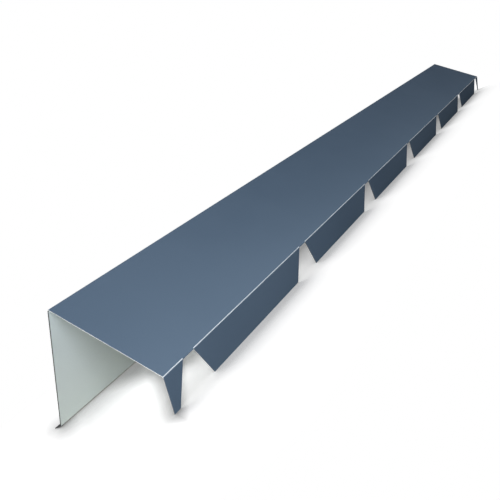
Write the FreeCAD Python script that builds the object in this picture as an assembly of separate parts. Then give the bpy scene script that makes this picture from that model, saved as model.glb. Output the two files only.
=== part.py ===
import FreeCAD, Part
import math
import os

# Roof ridge cap for the top edge of a single-pitch roof, folded from one strip of coated steel sheet.
# Lengths are in mm and angles in degrees.

# Sheet
sheet_thickness = 0.75
inside_bend_radius = 1.5

# Run along the ridge
cap_length = 2100.0
rib_pitch = 1000.0 / 3.0

# Section, measured on the coated side between the points where its flat faces would meet
flange_width = 180.0
leg_height = 210.0
kick_width = 17.0
tooth_depth = 53.0

# Bends
angle_between_flange_and_leg = 85.0
tooth_bend = 65.0
kick_bend = 45.0

# Openings between the teeth, which straddle the ribs of the roof panels
notch_width_at_fold = 23.0
notch_width_at_tip = 76.0


def along(point, direction, distance):
    return (point[0] + direction[0] * distance, point[1] + direction[1] * distance)


def heading(degrees):
    return (math.cos(math.radians(degrees)), math.sin(math.radians(degrees)))


def inward(direction):
    # From the coated side to the backing side, when the section is walked from tooth tip to kick edge
    return (direction[1], -direction[0])


def in_space(point, x=0.0):
    return FreeCAD.Vector(x, point[0], point[1])


def line(a, b):
    return Part.makeLine(in_space(a), in_space(b))


def arc(a, middle, b):
    return Part.Arc(in_space(a), in_space(middle), in_space(b)).toShape()


# Directions of the four flat strips, walked from the tooth tip over the ridge to the kick edge
up_tooth = heading(tooth_bend)
over_flange = heading(0.0)
down_leg = heading(angle_between_flange_and_leg - 180.0)
out_kick = heading(angle_between_flange_and_leg - 180.0 + kick_bend)

# Meeting points of the coated faces, with the ridge at the origin of the section
ridge = (0.0, 0.0)
fold = along(ridge, over_flange, -flange_width)
tooth_tip = along(fold, up_tooth, -tooth_depth)
foot = along(ridge, down_leg, leg_height)
kick_edge = along(foot, out_kick, kick_width)


def bend(corner, arriving, leaving, degrees, outward_bend):
    # The two ends and the middle of a bend, on the coated side and on the backing side
    coated_radius = inside_bend_radius if outward_bend else inside_bend_radius + sheet_thickness
    backing_radius = inside_bend_radius + sheet_thickness if outward_bend else inside_bend_radius
    setback = coated_radius * math.tan(math.radians(degrees) / 2)
    start = along(corner, arriving, -setback)
    end = along(corner, leaving, setback)
    side = -1.0 if outward_bend else 1.0
    centre = along(start, inward(arriving), side * coated_radius)
    reach = math.dist(corner, centre)
    to_corner = ((corner[0] - centre[0]) / reach, (corner[1] - centre[1]) / reach)
    coated = (start, along(centre, to_corner, coated_radius), end)
    backing = (
        along(start, inward(arriving), sheet_thickness),
        along(centre, to_corner, backing_radius),
        along(end, inward(leaving), sheet_thickness),
    )
    return coated, backing


def flat(a, b, edges):
    # Adds the flat between two points of the outline, unless a bend ends right where the next thing starts
    if math.dist(a, b) > 1e-6:
        edges.append(line(a, b))


def strip(first, last, bends):
    # Solid strip of sheet along the whole ridge, between two cut edges and through the bends given
    edges = []
    at = first[0]
    for coated, backing in bends:
        flat(at, coated[0], edges)
        edges.append(arc(*coated))
        at = coated[2]
    flat(at, last[0], edges)
    flat(last[0], last[1], edges)
    at = last[1]
    for coated, backing in reversed(bends):
        flat(at, backing[2], edges)
        edges.append(arc(backing[2], backing[1], backing[0]))
        at = backing[0]
    flat(at, first[1], edges)
    flat(first[1], first[0], edges)
    return Part.Face(Part.Wire(edges)).extrude(FreeCAD.Vector(cap_length, 0, 0))


# Cut edges of the sheet, each as its point on the coated side and its point on the backing side
tip_cut = (tooth_tip, along(tooth_tip, inward(up_tooth), sheet_thickness))
kick_cut = (kick_edge, along(kick_edge, inward(out_kick), sheet_thickness))

# Bends
fold_bend = bend(fold, up_tooth, over_flange, tooth_bend, False)
ridge_bend = bend(ridge, over_flange, down_leg, 180.0 - angle_between_flange_and_leg, False)
foot_bend = bend(foot, down_leg, out_kick, kick_bend, True)

# Top of the notches, where the apron's flat face meets the fold
notch_top = (fold_bend[0][0], fold_bend[1][0])

# Fold, flange, leg and drip kick
body = strip(notch_top, kick_cut, [fold_bend, ridge_bend, foot_bend])

# Flat apron below the fold, before its notches are cut
apron = strip(tip_cut, notch_top, [])

# Rib notches: narrow at the fold, wide at the tips, one for each rib and centred on the length
rib_count = int(cap_length / rib_pitch) + 1
first_rib = (cap_length - (rib_count - 1) * rib_pitch) / 2
clear = 4 * (sheet_thickness + inside_bend_radius)
notch_depth = math.dist(notch_top[0], tooth_tip)
flare = (notch_width_at_tip - notch_width_at_fold) / 2 / notch_depth
down_tooth = (-up_tooth[0], -up_tooth[1])
notches = []
for i in range(rib_count):
    middle = first_rib + i * rib_pitch
    half_root = notch_width_at_fold / 2
    half_tip = half_root + flare * (notch_depth + clear)
    corners = [
        (-half_root, -clear),
        (half_root, -clear),
        (half_root, 0.0),
        (half_tip, notch_depth + clear),
        (-half_tip, notch_depth + clear),
        (-half_root, 0.0),
    ]
    loop = []
    for across, down in corners:
        point = along(along(notch_top[0], down_tooth, down), inward(up_tooth), -clear)
        loop.append(in_space(point, middle + across))
    through = in_space(inward(up_tooth)) * (2 * clear)
    notches.append(Part.Face(Part.makePolygon(loop + loop[:1])).extrude(through))
teeth = apron.cut(notches)

# One piece of sheet
cap = body.fuse(teeth).removeSplitter()
cap = cap.Solids[0] if len(cap.Solids) == 1 else cap

# Lean at which the cap lies unheld on a level floor, on its kick edge and its tooth tips
for tip in tip_cut:
    for edge in kick_cut:
        lean = math.atan2(tip[1] - edge[1], edge[0] - tip[0])
        heights = [p[0] * math.sin(lean) + p[1] * math.cos(lean) for p in tip_cut + kick_cut]
        if min(heights) > edge[0] * math.sin(lean) + edge[1] * math.cos(lean) - 1e-9:
            rest_lean = lean
cap.rotate(FreeCAD.Vector(0, 0, 0), FreeCAD.Vector(1, 0, 0), math.degrees(rest_lean))

# Origin in the middle of the cap's footprint, on the floor
box = cap.optimalBoundingBox(False, False)
cap.translate(FreeCAD.Vector(-box.Center.x, -box.Center.y, -box.ZMin))

os.makedirs("parts", exist_ok=True)
cap.exportStep("parts/ridge_cap.step")
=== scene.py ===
import math
from collections import namedtuple

import bmesh
import bpy
from mathutils import Matrix, Vector


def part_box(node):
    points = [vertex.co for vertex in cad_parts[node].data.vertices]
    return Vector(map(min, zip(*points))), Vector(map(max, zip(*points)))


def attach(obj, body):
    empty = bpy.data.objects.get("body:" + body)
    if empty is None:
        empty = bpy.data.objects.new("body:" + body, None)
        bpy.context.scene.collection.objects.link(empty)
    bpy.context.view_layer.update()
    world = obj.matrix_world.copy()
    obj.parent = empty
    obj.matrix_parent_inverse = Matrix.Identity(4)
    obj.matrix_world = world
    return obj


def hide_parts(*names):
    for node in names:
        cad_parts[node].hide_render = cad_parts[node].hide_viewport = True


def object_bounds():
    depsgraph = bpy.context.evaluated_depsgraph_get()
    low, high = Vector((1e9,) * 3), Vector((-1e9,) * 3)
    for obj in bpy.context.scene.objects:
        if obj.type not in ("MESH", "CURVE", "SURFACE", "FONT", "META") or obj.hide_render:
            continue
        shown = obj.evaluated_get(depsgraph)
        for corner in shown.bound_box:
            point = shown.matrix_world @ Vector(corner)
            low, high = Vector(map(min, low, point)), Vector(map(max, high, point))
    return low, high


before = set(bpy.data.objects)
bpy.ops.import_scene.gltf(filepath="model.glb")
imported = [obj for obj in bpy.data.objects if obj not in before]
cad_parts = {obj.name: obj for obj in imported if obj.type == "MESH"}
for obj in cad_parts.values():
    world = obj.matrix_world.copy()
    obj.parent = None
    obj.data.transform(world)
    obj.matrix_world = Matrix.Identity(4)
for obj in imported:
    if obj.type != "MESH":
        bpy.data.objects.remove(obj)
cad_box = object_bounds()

# Half of the part's length and width, in metres
HALF_LENGTH = (cad_box[1].x - cad_box[0].x) / 2
HALF_WIDTH = (cad_box[1].y - cad_box[0].y) / 2

# Folded sheet, in metres and degrees
SHEET_THICKNESS = 0.00075
INSIDE_BEND_RADIUS = 0.0015
FLANGE_WIDTH = 0.180
LEG_HEIGHT = 0.210
KICK_WIDTH = 0.017
TOOTH_DEPTH = 0.053
ANGLE_BETWEEN_FLANGE_AND_LEG = 85.0
TOOTH_BEND = 65.0
KICK_BEND = 45.0

# Openings between the teeth, in metres
RIB_PITCH = 1.0 / 3.0
NOTCH_WIDTH_AT_FOLD = 0.023
NOTCH_WIDTH_AT_TIP = 0.076

# Rounding of the sheared edges, in metres
EDGE_ROUNDING = 0.00012

# Fineness of the mesh: metres between columns, steps across each flat and round each bend, metres from a
# bend to the row kept beside it, and the angle in degrees below which two faces shade as one
COLUMN_STEP = 0.022
TOOTH_STEPS = 4
FLANGE_STEPS = 12
LEG_STEPS = 12
KICK_STEPS = 2
BEND_STEPS = 10
ROW_BESIDE_BEND = 0.0005
SMOOTH_BELOW = 30.0

# How far into a notch the pale line on the fold ends, in metres: a painted highlight that is partly
# stretched lacquer
FOLD_HIGHLIGHT_END = 0.0008

# How bright the cut edges of the teeth are under painted shade, as a share of the flange's
TOOTH_SHINE = 0.3

# How much painted sheen pales the teeth, leg and kick, from 0 as the flange is at the ridge to 1 as it is at
# the fold
SHEEN_ELSEWHERE = 0.4

# Photograph's view: frame is 500 pixels square, directions are unit vectors, places are in metres
IMAGE_SIZE = 500
FOCAL_LENGTH_IN_PIXELS = 556.16
SENSOR_WIDTH = 36.0
CAMERA_PLACE = Vector((-1.43446, -0.63633, 0.24727))
CAMERA_RIGHT = Vector((0.48683, -0.75131, -0.44556))
CAMERA_LOOKS = Vector((0.77396, 0.60749, -0.17872))

COAT, BACKING, CUT_EDGE = range(3)

# One row of the sheet: its point on the coated side, the direction to the backing side, how far a bend
# stretches its lacquer and carries the painted highlight, how far a notch has widened, how bright its cut
# edges are under their painted shade, and how far painted sheen pales its lacquer
Station = namedtuple("Station", "coated facing bend flare shine pale")


# Section of the sheet, walked from the tooth tip over the ridge to the kick edge
def heading(degrees):
    return Vector((math.cos(math.radians(degrees)), math.sin(math.radians(degrees))))


def inward(direction):
    """Direction from the coated side to the backing side of the sheet."""
    return Vector((direction.y, -direction.x))


def flat_rows(start, end, steps):
    """Rows across a flat, with one more close to each end so that the shading stays flat."""
    length = (end - start).length
    beside = ROW_BESIDE_BEND / length
    shares = [0.0, beside] + [i / steps for i in range(1, steps)] + [1.0 - beside, 1.0]
    facing = inward((end - start) / length)
    return [(start.lerp(end, share), facing, 0.0) for share in shares]


def bend_rows(corner, arriving, leaving, highlight_and_stretch):
    """Ends of a bend on the coated side, and the rows between them, with the stretch and the painted
    highlight strongest in the middle.
    """
    turn = leaving - arriving
    side = 1.0 if turn < 0 else -1.0
    radius = INSIDE_BEND_RADIUS + (SHEET_THICKNESS if turn < 0 else 0.0)
    setback = radius * math.tan(math.radians(abs(turn)) / 2)
    start = corner - heading(arriving) * setback
    end = corner + heading(leaving) * setback
    centre = start + inward(heading(arriving)) * side * radius
    rows = []
    for i in range(1, BEND_STEPS):
        share = i / BEND_STEPS
        facing = inward(heading(arriving + turn * share))
        rows.append((centre - facing * side * radius, facing, highlight_and_stretch * math.sin(math.pi * share)))
    return start, rows, end


def section():
    """Rows of the flat teeth, and rows of the rest of the sheet from the start of the fold on."""
    leg_heading = ANGLE_BETWEEN_FLANGE_AND_LEG - 180.0
    kick_heading = leg_heading + KICK_BEND
    ridge = Vector((0.0, 0.0))
    fold = ridge - heading(0.0) * FLANGE_WIDTH
    tooth_tip = fold - heading(TOOTH_BEND) * TOOTH_DEPTH
    foot = ridge + heading(leg_heading) * LEG_HEIGHT
    kick_edge = foot + heading(kick_heading) * KICK_WIDTH
    fold_start, fold_rows, fold_end = bend_rows(fold, TOOTH_BEND, 0.0, 1.0)
    ridge_start, ridge_rows, ridge_end = bend_rows(ridge, 0.0, leg_heading, 0.0)
    foot_start, foot_rows, foot_end = bend_rows(foot, leg_heading, kick_heading, 0.0)
    rows = flat_rows(tooth_tip, fold_start, TOOTH_STEPS)
    fold_row = len(rows) - 1
    rows += fold_rows + flat_rows(fold_end, ridge_start, FLANGE_STEPS) + ridge_rows
    leg_row = len(rows)
    rows += flat_rows(ridge_end, foot_start, LEG_STEPS) + foot_rows
    rows += flat_rows(foot_end, kick_edge, KICK_STEPS)
    stations = placed(rows, fold_row, leg_row)
    return stations[:fold_row], stations[fold_row:]


def placed(rows, fold_row, leg_row):
    """The rows leaned to rest on the tooth tips and the kick edge, and moved to the CAD part's place."""
    tooth_tip, notch_top, kick_edge = rows[0][0], rows[fold_row][0], rows[-1][0]
    kick_rest = kick_edge + rows[-1][1] * SHEET_THICKNESS
    leaning = Matrix.Rotation(math.atan2(tooth_tip.y - kick_rest.y, kick_rest.x - tooth_tip.x), 2)
    low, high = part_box("ridge_cap")
    shift = Vector((high.y - (leaning @ kick_edge).x, low.z - (leaning @ kick_rest).y))
    down_notch = tooth_tip - notch_top
    widening = (NOTCH_WIDTH_AT_TIP - NOTCH_WIDTH_AT_FOLD) / 2 / down_notch.length_squared
    stations = []
    for row, (coated, facing, bend) in enumerate(rows):
        flare = widening * max(0.0, (coated - notch_top).dot(down_notch))
        # shine sets how far painted shade darkens the cut edges, and pale how far painted sheen pales the
        # lacquer
        if row < fold_row:
            shine, pale = TOOTH_SHINE, SHEEN_ELSEWHERE
        elif row < leg_row:
            shine, pale = 1.0, min(1.0, max(0.0, -coated.x / FLANGE_WIDTH))
        else:
            shine, pale = 0.0, SHEEN_ELSEWHERE
        stations.append(Station(leaning @ coated + shift, leaning @ facing, bend, flare, shine, pale))
    return stations


# Run of the sheet along the ridge
def notch_spans(length):
    """Start and end of each rib notch at the fold, with the notches centred on the length."""
    count = int(length / RIB_PITCH) + 1
    first = (length - (count - 1) * RIB_PITCH) / 2
    half_notch = NOTCH_WIDTH_AT_FOLD / 2
    middles = [first + i * RIB_PITCH for i in range(count)]
    return [(middle - half_notch, middle + half_notch) for middle in middles]


def column_places(length, notches):
    """Places of the columns along the ridge, at each notch corner and just inside it, and evenly between."""
    stops = [0.0]
    for start, end in notches:
        stops += [start, start + FOLD_HIGHLIGHT_END, end - FOLD_HIGHLIGHT_END, end]
    stops.append(length)
    places = [0.0]
    for a, b in zip(stops, stops[1:]):
        steps = max(1, math.ceil((b - a) / COLUMN_STEP))
        places += [a + (b - a) * i / steps for i in range(1, steps + 1)]
    return places


class SheetBuilder:
    """Collects the sheet as paired points, one on each side, and panels between them."""

    def __init__(self):
        self.mesh = bmesh.new()
        layers = self.mesh.verts.layers.float
        self.layers = {name: layers.new(name) for name in ("bend", "through", "shine", "pale")}
        self.pairs = []
        self.panels = []

    def point(self, x, station):
        pair = []
        for through, depth in ((0.0, 0.0), (1.0, SHEET_THICKNESS)):
            place = station.coated + station.facing * depth
            vertex = self.mesh.verts.new((x, place.x, place.y))
            vertex[self.layers["bend"]] = station.bend
            vertex[self.layers["through"]] = through
            vertex[self.layers["shine"]] = station.shine
            vertex[self.layers["pale"]] = station.pale
            pair.append(vertex)
        self.pairs.append(pair)
        return len(self.pairs) - 1

    def row(self, places, station):
        return [self.point(x, station) for x in places]

    def clear_fold_highlight(self, k):
        """Takes the painted highlight and the stretch off the lacquer at one pair of points."""
        for vertex in self.pairs[k]:
            vertex[self.layers["bend"]] = 0.0

    def fill(self, rows):
        """Puts panels between rows, each of as many points as the next."""
        for near, far in zip(rows, rows[1:]):
            for i in range(len(near) - 1):
                self.panels.append((near[i], near[i + 1], far[i + 1], far[i]))

    def rim(self):
        """Edges that only one panel has, each in that panel's order."""
        edges = {}
        for panel in self.panels:
            for a, b in zip(panel, panel[1:] + panel[:1]):
                if edges.pop((b, a), None) is None:
                    edges[(a, b)] = True
        return list(edges)

    def finish(self, name, materials):
        """Closes the mesh round its edges and puts it into the scene."""
        self.add_faces()
        self.round_edges()
        for edge in self.mesh.edges:
            faces = edge.link_faces
            meets = faces[0].material_index != faces[1].material_index
            edge.smooth = not meets and edge.calc_face_angle() < math.radians(SMOOTH_BELOW)
        result = bpy.data.meshes.new(name)
        self.mesh.to_mesh(result)
        self.mesh.free()
        for material in materials:
            result.materials.append(material)
        piece = bpy.data.objects.new(name, result)
        bpy.context.scene.collection.objects.link(piece)
        return piece

    def add_faces(self):
        for panel in self.panels:
            self.add_face([self.pairs[k][0] for k in panel], COAT)
            self.add_face([self.pairs[k][1] for k in reversed(panel)], BACKING)
        for a, b in self.rim():
            (coated_a, backing_a), (coated_b, backing_b) = self.pairs[a], self.pairs[b]
            self.add_face([coated_b, coated_a, backing_a, backing_b], CUT_EDGE)

    def add_face(self, corners, slot):
        face = self.mesh.faces.new(corners)
        face.material_index = slot
        face.smooth = True

    def round_edges(self):
        def on_rim(edge):
            slots = {face.material_index for face in edge.link_faces}
            return CUT_EDGE in slots and len(slots) > 1

        rim = [edge for edge in self.mesh.edges if on_rim(edge)]
        bmesh.ops.bevel(
            self.mesh,
            geom=rim,
            offset=EDGE_ROUNDING,
            offset_type="OFFSET",
            segments=2,
            profile=0.5,
            affect="EDGES",
            material=CUT_EDGE,
        )


def build_sheet(materials):
    """The folded sheet as one closed mesh: the rows from the fold on first, and then each tooth."""
    low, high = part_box("ridge_cap")
    length = high.x - low.x
    notches = notch_spans(length)
    columns = column_places(length, notches)
    tooth_stations, body_stations = section()
    builder = SheetBuilder()
    body = [builder.row([low.x + x for x in columns], station) for station in body_stations]
    builder.fill(body)
    for i, x in enumerate(columns):
        if any(start < x < end for start, end in notches):
            for row in body:
                builder.clear_fold_highlight(row[i])
    starts, ends = zip(*notches)
    for left, right in zip([0.0, *ends], [*starts, length]):
        first, last = columns.index(left), columns.index(right)
        shares = [(x - left) / (right - left) for x in columns[first : last + 1]]
        rows = []
        for station in tooth_stations:
            start = left + (station.flare if left > 0 else 0.0)
            end = right - (station.flare if right < length else 0.0)
            rows.append(builder.row([low.x + start + (end - start) * share for share in shares], station))
        builder.fill(rows + [body[0][first : last + 1]])
    return builder.finish("ridge_cap_sheet", materials)


# Nodes of materials
class Shading:
    """Adds nodes to a material or to the world."""

    def __init__(self, owner):
        owner.use_nodes = True
        self.tree = owner.node_tree

    def add(self, kind, inputs, **settings):
        """Adds a node: an input that is a socket is linked, and any other input is a value."""
        node = self.tree.nodes.new(kind)
        for name, value in settings.items():
            setattr(node, name, value)
        for name, value in inputs.items():
            if isinstance(value, bpy.types.NodeSocket):
                self.tree.links.new(value, node.inputs[name])
            else:
                node.inputs[name].default_value = value
        return node

    def place(self):
        return self.add("ShaderNodeTexCoord", {}).outputs["Object"]

    def axis(self, vector, name):
        return self.add("ShaderNodeSeparateXYZ", {0: vector}).outputs[name]

    def noise(self, scale, detail):
        """Noise with about as many waves to the metre as the scale says."""
        inputs = {"Vector": self.place(), "Scale": scale, "Detail": detail}
        return self.add("ShaderNodeTexNoise", inputs).outputs["Fac"]

    def attribute(self, name):
        return self.add("ShaderNodeAttribute", {}, attribute_name=name).outputs["Fac"]

    def math(self, operation, a, b):
        return self.add("ShaderNodeMath", {0: a, 1: b}, operation=operation).outputs[0]

    def product(self, a, b):
        return self.math("MULTIPLY", a, b)

    def vector(self, operation, a, b=(0.0, 0.0, 0.0)):
        return self.add("ShaderNodeVectorMath", {0: a, 1: b}, operation=operation).outputs["Vector"]

    def length(self, vector):
        return self.add("ShaderNodeVectorMath", {0: vector}, operation="LENGTH").outputs["Value"]

    def reach(self, vector, direction):
        """How far a vector reaches in a direction."""
        inputs = {0: vector, 1: direction}
        return self.add("ShaderNodeVectorMath", inputs, operation="DOT_PRODUCT").outputs["Value"]

    def ranged(self, value, start, end, low, high):
        """Goes evenly from low to high while the value goes from start to end, and no further."""
        inputs = {0: value, 1: start, 2: end, 3: low, 4: high}
        return self.add("ShaderNodeMapRange", inputs).outputs[0]

    def mixed(self, share, a, b):
        return self.add("ShaderNodeMix", {0: share, 6: a, 7: b}, data_type="RGBA").outputs[2]

    def seen_directly(self):
        """1 for rays from the camera, a mirror or glass, and 0 for rays that light things."""
        path = self.add("ShaderNodeLightPath", {})
        mirrored = self.math("ADD", path.outputs["Is Glossy Ray"], path.outputs["Is Transmission Ray"])
        return self.math("MINIMUM", self.math("ADD", path.outputs["Is Camera Ray"], mirrored), 1.0)


# Materials of the sheet
def colour(red, green, blue):
    """A colour written as on screen, from 0 to 255, as the linear values that the shader takes."""
    def linear(value):
        value /= 255
        return value / 12.92 if value <= 0.04045 else ((value + 0.055) / 1.055) ** 2.4
    return (linear(red), linear(green), linear(blue), 1.0)


# Colours, in pairs where noise mixes two
LACQUER = (colour(84, 103, 124), colour(91, 110, 131))
# Painted sheen: the colour that the flange pales to at the fold
SHEEN_AT_FOLD = colour(110, 130, 151)
LACQUER_GRAIN = colour(102, 120, 141)
# Painted highlight on the fold, partly stretched lacquer
STRETCHED_AND_HIGHLIT_LACQUER = colour(234, 243, 252)
BACKING_LACQUER = (colour(222, 235, 242), colour(227, 240, 247))
BACKING_GRAIN = colour(212, 225, 232)
BURNISHED_STEEL = (colour(240, 243, 245), colour(252, 253, 254))
TORN_STEEL = (colour(222, 227, 229), colour(240, 243, 244))
# Painted shade on the cut edges of the teeth and leg, and beside the leg's cut ends
EDGE_PAINTED_SHADE = colour(38, 40, 44)
# Painted shade on the top of the kick beside the cut ends
KICK_PAINTED_SHADE = colour(38, 38, 40)

# Values between which broad and fine noise mostly stay
CLOUD_SPAN = (0.35, 0.65)
GRAIN_SPAN = (0.3, 0.7)

# Height of the grain in the lacquers and of the streaks in the cut edge, in metres
GRAIN_HEIGHT = 0.00003
STREAK_HEIGHT = 0.00005

# Roughness, from the hollows of the grain to its tops, and from the burnished band to the torn one
LACQUER_ROUGHNESS = (0.72, 0.82)
BACKING_ROUGHNESS = (0.58, 0.7)
EDGE_ROUGHNESS = (0.35, 0.6)

# Painted sheen that pales the flange towards the fold: share of the paler colour there, and how late most of
# it comes
SHEEN_SHARE = 0.5
SHEEN_POWER = 1.6

# Pale line on the fold, a painted highlight that is partly stretched lacquer: place along the ridge where it
# starts to widen, in metres, the stretch from which the lacquer is paler there and at the far end, and how
# much more stretch makes it fully pale
LINE_WIDENS_FROM = -0.2
LINE_START_NEAR = 0.55
LINE_START_FAR = 0.05
LINE_SOFTNESS = 0.4

# Painted shade beside the cut ends, on the back of the leg and on the top of the kick, and the heights above
# the floor between which the painted shade on the kick stops, in metres
LEG_SHADE_WIDTH = 0.0012
KICK_SHADE_WIDTH = 0.016
KICK_SHADE_TOP = (0.0035, 0.005)

# Shine from which a place is no longer on the leg or the kick, where it is 0
OFF_LEG_SHINE = 0.2

# Share of the sheet's thickness, from the coated side, over which the burnished band turns into the torn one
TEAR_SPAN = (0.35, 0.6)


class SheetShading(Shading):
    """Material of one side or edge of the sheet."""

    def __init__(self, name):
        self.material = bpy.data.materials.new(name)
        super().__init__(self.material)

    def clouded(self, scale, pair):
        """Two colours in broad soft clouds."""
        return self.mixed(self.ranged(self.noise(scale, 3.0), *CLOUD_SPAN, 0.0, 1.0), *pair)

    def streaked(self, streaks, pair):
        return self.mixed(self.ranged(streaks, *GRAIN_SPAN, 0.0, 1.0), *pair)

    def shaded_end(self, width):
        """1 on the leg and kick beside the cap's cut ends, where painted shade goes, and 0 elsewhere."""
        from_middle = self.math("ABSOLUTE", self.axis(self.place(), "X"), 0.0)
        at_end = self.ranged(from_middle, HALF_LENGTH - width, HALF_LENGTH - width / 2, 0.0, 1.0)
        return self.product(at_end, self.ranged(self.attribute("shine"), 0.0, OFF_LEG_SHINE, 1.0, 0.0))

    def finished(self, base_colour, roughness, relief, height, constants):
        """The material, with its shader's inputs linked or set."""
        inputs = {"Height": relief, "Distance": height, "Strength": 1.0}
        normal = self.add("ShaderNodeBump", inputs).outputs["Normal"]
        shader = self.tree.nodes["Principled BSDF"]
        self.tree.links.new(base_colour, shader.inputs["Base Color"])
        self.tree.links.new(roughness, shader.inputs["Roughness"])
        self.tree.links.new(normal, shader.inputs["Normal"])
        for name, value in constants.items():
            shader.inputs[name].default_value = value
        return self.material


def outer_coat_material():
    """Satin blue-grey lacquer with faint clouds and fine grain, a painted sheen paler towards the fold, a
    painted highlight on the fold that is partly stretched lacquer, and painted shade on the kick beside the
    cut ends.
    """
    shading = SheetShading("outer_coat")
    grain = shading.noise(900.0, 2.0)
    # Painted sheen, paler towards the fold
    painted_sheen = shading.math("POWER", shading.attribute("pale"), SHEEN_POWER)
    painted_sheen = shading.product(painted_sheen, SHEEN_SHARE)
    lacquer = shading.mixed(painted_sheen, shading.clouded(3.0, LACQUER), SHEEN_AT_FOLD)
    grained = shading.mixed(shading.ranged(grain, *GRAIN_SPAN, 0.0, 0.25), lacquer, LACQUER_GRAIN)
    along, height = (shading.axis(shading.place(), name) for name in "XZ")
    # Painted highlight on the fold, partly stretched lacquer, wider towards the far end
    start = shading.ranged(along, LINE_WIDENS_FROM, HALF_LENGTH, LINE_START_NEAR, LINE_START_FAR)
    full = shading.math("ADD", start, LINE_SOFTNESS)
    highlight_and_stretch_share = shading.ranged(shading.attribute("bend"), start, full, 0.0, 1.0)
    with_fold_highlight = shading.mixed(highlight_and_stretch_share, grained, STRETCHED_AND_HIGHLIT_LACQUER)
    # Painted shade on the top of the kick beside the cut ends
    on_kick = shading.ranged(height, *KICK_SHADE_TOP, 1.0, 0.0)
    with_kick_shade = shading.mixed(shading.product(shading.shaded_end(KICK_SHADE_WIDTH), on_kick), with_fold_highlight, KICK_PAINTED_SHADE)
    roughness = shading.ranged(grain, *GRAIN_SPAN, *LACQUER_ROUGHNESS)
    return shading.finished(with_kick_shade, roughness, grain, GRAIN_HEIGHT, {"Specular IOR Level": 0.03})


def backing_coat_material():
    """Thin light grey lacquer on the back of the sheet, with painted shade beside the leg's cut ends."""
    shading = SheetShading("backing_coat")
    grain = shading.noise(700.0, 2.0)
    lacquer = shading.clouded(6.0, BACKING_LACQUER)
    grained = shading.mixed(shading.ranged(grain, *GRAIN_SPAN, 0.0, 0.2), lacquer, BACKING_GRAIN)
    # Painted shade beside the leg's cut ends
    with_edge_shade = shading.mixed(shading.shaded_end(LEG_SHADE_WIDTH), grained, EDGE_PAINTED_SHADE)
    roughness = shading.ranged(grain, *GRAIN_SPAN, *BACKING_ROUGHNESS)
    return shading.finished(with_edge_shade, roughness, grain, GRAIN_HEIGHT, {"Specular IOR Level": 0.25})


def cut_edge_material():
    """Sheared steel: a bright burnished band beside the coat and a duller torn one, darkened by painted
    shade to dark at a shine of 0.
    """
    shading = SheetShading("cut_edge")
    streaks = shading.noise(1500.0, 2.0)
    torn = shading.ranged(shading.attribute("through"), *TEAR_SPAN, 0.0, 1.0)
    burnished, dull = (shading.streaked(streaks, pair) for pair in (BURNISHED_STEEL, TORN_STEEL))
    steel = shading.mixed(torn, burnished, dull)
    # Painted shade on the cut edges, deepest where the shine is 0 on the leg and kick
    darkened = shading.mixed(shading.attribute("shine"), EDGE_PAINTED_SHADE, steel)
    roughness = shading.ranged(torn, 0.0, 1.0, *EDGE_ROUGHNESS)
    return shading.finished(darkened, roughness, streaks, STREAK_HEIGHT, {"Metallic": 0.15})


# Studio floor: where the part's ends and long sides lie on it, and how far it goes, in metres
NEAR_END, FAR_END = -HALF_LENGTH, HALF_LENGTH
TOOTH_SIDE, LEG_SIDE = -HALF_WIDTH, HALF_WIDTH
FLOOR_REACH = 8.0

# Colours of the floor: paper as it is seen, and what it throws back at the part from below it and beside it
PAPER = (colour(238, 238, 238), colour(242, 242, 242))
BOUNCE_BELOW = colour(203, 197, 177)
BOUNCE_BESIDE = colour(150, 150, 150)
BLACK = colour(0, 0, 0)
WHITE = (1.0, 1.0, 1.0, 1.0)

# How far the shade goes on past the far end, and how far from the shade the floor fades to white, in metres
SHADE_PAST_END = 0.12
FADE_TO_WHITE = (0.03, 0.2)

# Shade close to the part: how far it reaches at the near and the far end, in metres, and the share of light
# left where it is darkest, at the tooth tips and some way behind them, in metres
SHADE_REACH = (0.08, 0.18)
DARKEST_LIGHT = (0.05, 0.3)
BEHIND_TIPS = 0.03

# Dark wedge that runs in under the cap from the near corner of the first tooth: the share of light left in
# it, how softly it starts at the near end, between which places across the floor it ends, and for each of
# its two sides the direction outwards and between which distances from the corner it fades, all in metres
WEDGE_LIGHT = 0.5
WEDGE_SOFTNESS = 0.02
WEDGE_ENDS = (-0.02, 0.06)
WEDGE_SIDES = (
    ((-0.782, 0.623, 0.0), (0.006, 0.026)),
    ((0.658, -0.752, 0.0), (-0.008, 0.008)),
)

# Soft oval shade round the near foot of the leg: the share of light left in its middle, how far in from the
# foot's corner that is and how far it reaches, in metres, and its two axes, the second shortened to a third
# so that the oval is three times as long that way
FOOT_LIGHT = 0.6
FOOT_SHADE_INSET = 0.012
FOOT_SHADE_REACH = 0.03
FOOT_SHADE_AXES = ((0.896, -0.445, 0.0), (0.147, 0.296, 0.0))

# Light added to the floor where it is seen, each from one place along the part to another with its values
# there: under the cap at the near end, close behind the teeth, deeper under the cap, and beside the part
LIFT_AT_END = (NEAR_END, NEAR_END + 0.1, 0.58, 0.74)
LIFT_BEHIND_TEETH = (NEAR_END + 0.4, NEAR_END + 0.9, 0.8, 0.68)
LIFT_DEEP = (NEAR_END + 0.12, FAR_END, 0.22, 0.44)
LIFT_BESIDE = (NEAR_END, FAR_END, 0.52, 0.78)

# Where those meet, in metres: along the part past its near end and past its far end, across it behind the
# teeth, and how far within its long sides the shade and the reflected colour change
PAST_NEAR_END = (NEAR_END + 0.08, NEAR_END + 0.13)
PAST_FAR_END = (FAR_END + 0.08, FAR_END + 0.24)
BEHIND_TEETH = (TOOTH_SIDE + 0.045, TOOTH_SIDE + 0.11)
SHADE_SIDE_FADE = 0.04
BOUNCE_SIDE_FADE = 0.02


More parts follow.
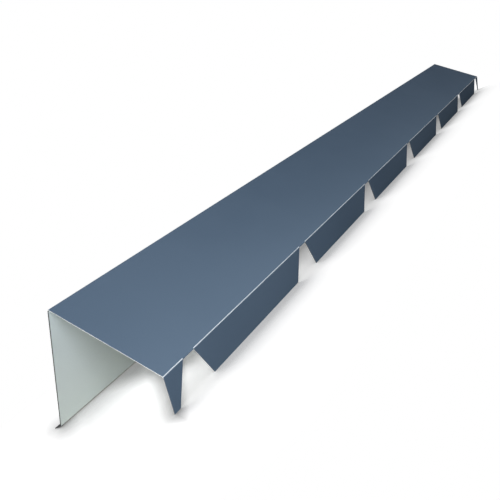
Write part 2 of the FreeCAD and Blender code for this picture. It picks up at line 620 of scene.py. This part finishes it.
class FloorShading(Shading):
    """White floor that shows the shadow near the part and turns to plain white away from it."""

    def __init__(self):
        self.material = bpy.data.materials.new("studio_floor")
        super().__init__(self.material)
        self.tree.nodes.remove(self.tree.nodes["Principled BSDF"])
        self.seen = self.seen_directly()
        self.spot = self.place()
        self.along, self.across = (self.axis(self.spot, name) for name in "XY")
        self.beyond = self.beyond_shade()
        self.sideways = self.axis(self.beyond, "Y")
        self.light = self.product(self.light_near_part(), self.product(self.wedge(), self.round_foot()))

    def beyond_shade(self):
        """How far a spot lies beyond the part and the shade past its far end, negative within them."""
        centred = self.vector("SUBTRACT", self.spot, (SHADE_PAST_END / 2, 0.0, 0.0))
        extent = (HALF_LENGTH + SHADE_PAST_END / 2, HALF_WIDTH, 0.0)
        return self.vector("SUBTRACT", self.vector("ABSOLUTE", centred), extent)

    def light_near_part(self):
        """Share of light left in the shade close to the part."""
        distance = self.ranged(self.along, NEAR_END, FAR_END, *SHADE_REACH)
        open_sky = self.add("ShaderNodeAmbientOcclusion", {"Distance": distance}, samples=8).outputs["AO"]
        darkest = self.ranged(self.across, TOOTH_SIDE, TOOTH_SIDE + BEHIND_TIPS, *DARKEST_LIGHT)
        return self.ranged(open_sky, 0.0, 1.0, darkest, 1.0)

    def wedge(self):
        """Share of light left in the dark wedge behind the first tooth."""
        from_corner = self.vector("SUBTRACT", self.spot, (NEAR_END, TOOTH_SIDE, 0.0))
        light = self.ranged(self.along, NEAR_END - WEDGE_SOFTNESS, NEAR_END + WEDGE_SOFTNESS, 1.0, 0.0)
        light = self.math("MAXIMUM", light, self.ranged(self.across, *WEDGE_ENDS, 0.0, 1.0))
        for outward, fade in WEDGE_SIDES:
            side = self.ranged(self.reach(from_corner, outward), *fade, WEDGE_LIGHT, 1.0)
            light = self.math("MAXIMUM", light, side)
        return light

    def round_foot(self):
        """Share of light left in the soft oval round the near foot of the leg."""
        from_foot = self.vector("SUBTRACT", self.spot, (NEAR_END, LEG_SIDE - FOOT_SHADE_INSET, 0.0))
        turned = {i: self.reach(from_foot, axis) for i, axis in enumerate(FOOT_SHADE_AXES)}
        distance = self.length(self.add("ShaderNodeCombineXYZ", turned).outputs[0])
        return self.ranged(distance, 0.0, FOOT_SHADE_REACH, FOOT_LIGHT, 1.0)

    def paper(self):
        """Colour of the floor, one as it is seen and another as it lights the part."""
        surface = self.mixed(self.noise(40.0, 2.0), *PAPER)
        shaded = self.mixed(self.light, BLACK, surface)
        beside = self.ranged(self.sideways, -BOUNCE_SIDE_FADE, 0.0, 0.0, 1.0)
        return self.mixed(self.seen, self.mixed(beside, BOUNCE_BELOW, BOUNCE_BESIDE), shaded)

    def lift(self):
        """Light added to the floor where it is seen, which sets how pale its shade is at each place."""
        close, deep = self.ranged(self.along, *LIFT_BEHIND_TEETH), self.ranged(self.along, *LIFT_DEEP)
        inside = self.ranged(self.across, *BEHIND_TEETH, close, deep)
        past_near_end = self.ranged(self.along, *PAST_NEAR_END, 0.0, 1.0)
        below = self.mixed(past_near_end, self.ranged(self.along, *LIFT_AT_END), inside)
        between_sides = self.ranged(self.sideways, -SHADE_SIDE_FADE, 0.0, 1.0, 0.0)
        under = self.product(between_sides, self.ranged(self.along, *PAST_FAR_END, 1.0, 0.0))
        lifted = self.mixed(under, self.ranged(self.along, *LIFT_BESIDE), below)
        return self.product(self.seen, self.product(lifted, self.light))

    def finished(self):
        diffuse = self.add("ShaderNodeBsdfDiffuse", {"Color": self.paper()}).outputs[0]
        lift = self.add("ShaderNodeEmission", {"Strength": self.lift()}).outputs[0]
        near = self.add("ShaderNodeAddShader", {0: diffuse, 1: lift}).outputs[0]
        white = self.add("ShaderNodeEmission", {"Strength": 1.0}).outputs[0]
        distance = self.length(self.vector("MAXIMUM", self.beyond))
        faded = self.product(self.ranged(distance, *FADE_TO_WHITE, 0.0, 1.0), self.seen)
        result = self.add("ShaderNodeMixShader", {0: faded, 1: near, 2: white}).outputs[0]
        self.tree.links.new(result, self.tree.nodes["Material Output"].inputs["Surface"])
        return self.material


def build_floor(height):
    mesh = bpy.data.meshes.new("studio_floor")
    corners = [(x * FLOOR_REACH, y * FLOOR_REACH, height) for x, y in ((-1, -1), (1, -1), (1, 1), (-1, 1))]
    mesh.from_pydata(corners, [], [(0, 1, 2, 3)])
    mesh.materials.append(FloorShading().finished())
    floor = bpy.data.objects.new("studio_floor", mesh)
    bpy.context.scene.collection.objects.link(floor)


# Light from the white surroundings, as a share of how bright they look
WORLD_LIGHT = 0.02

# Lamps: place and target, width and height in metres, and power in watts
Softbox = namedtuple("Softbox", "name place target size power")
SOFTBOXES = (
    Softbox("key", (-2.4, -1.3, 1.35), (-0.9, 0.0, 0.1), (1.6, 1.2), 26.0),
    Softbox("low_side", (-1.7, -1.5, 0.3), (-1.0, 0.0, 0.08), (0.6, 0.4), 9.0),
    Softbox("near_fill", (-2.3, -0.8, 0.7), (-1.0, 0.0, 0.08), (0.8, 0.6), 6.5),
    Softbox("end_fill", (-3.2, -0.05, 0.12), (-1.05, 0.0, 0.1), (0.5, 0.3), 18.0),
    Softbox("top", (0.0, 0.0, 2.6), (0.0, 0.0, 0.0), (2.5, 2.0), 23.0),
    Softbox("back_fill", (0.8, 2.4, 1.3), (0.3, 0.1, 0.05), (2.4, 1.2), 35.0),
)


def build_world():
    world = bpy.data.worlds.new("studio")
    bpy.context.scene.world = world
    shading = Shading(world)
    strength = shading.ranged(shading.seen_directly(), 0.0, 1.0, WORLD_LIGHT, 1.0)
    background = shading.tree.nodes["Background"]
    background.inputs["Color"].default_value = WHITE
    shading.tree.links.new(strength, background.inputs["Strength"])


def build_softbox(softbox):
    light = bpy.data.lights.new(softbox.name, "AREA")
    light.shape = "RECTANGLE"
    light.size, light.size_y = softbox.size
    light.energy = softbox.power
    lamp = bpy.data.objects.new(softbox.name, light)
    lamp.location = softbox.place
    towards = Vector(softbox.target) - Vector(softbox.place)
    lamp.rotation_euler = towards.to_track_quat("-Z", "Y").to_euler()
    bpy.context.scene.collection.objects.link(lamp)


def build_camera():
    camera = bpy.data.cameras.new("photo_view")
    camera.sensor_width = SENSOR_WIDTH
    camera.lens = FOCAL_LENGTH_IN_PIXELS / IMAGE_SIZE * SENSOR_WIDTH
    camera.clip_start = 0.01
    viewer = bpy.data.objects.new("photo_view", camera)
    backward = -CAMERA_LOOKS.normalized()
    right = (CAMERA_RIGHT - backward * CAMERA_RIGHT.dot(backward)).normalized()
    turned = Matrix((right, backward.cross(right), backward)).transposed()
    viewer.matrix_world = Matrix.Translation(CAMERA_PLACE) @ turned.to_4x4()
    bpy.context.scene.collection.objects.link(viewer)
    bpy.context.scene.camera = viewer


def build_studio():
    build_floor(cad_box[0].z)
    build_world()
    for softbox in SOFTBOXES:
        build_softbox(softbox)
    build_camera()
    bpy.context.scene.view_settings.view_transform = "Standard"


sheet = build_sheet([outer_coat_material(), backing_coat_material(), cut_edge_material()])
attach(sheet, "root")
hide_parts("ridge_cap")
build_studio()
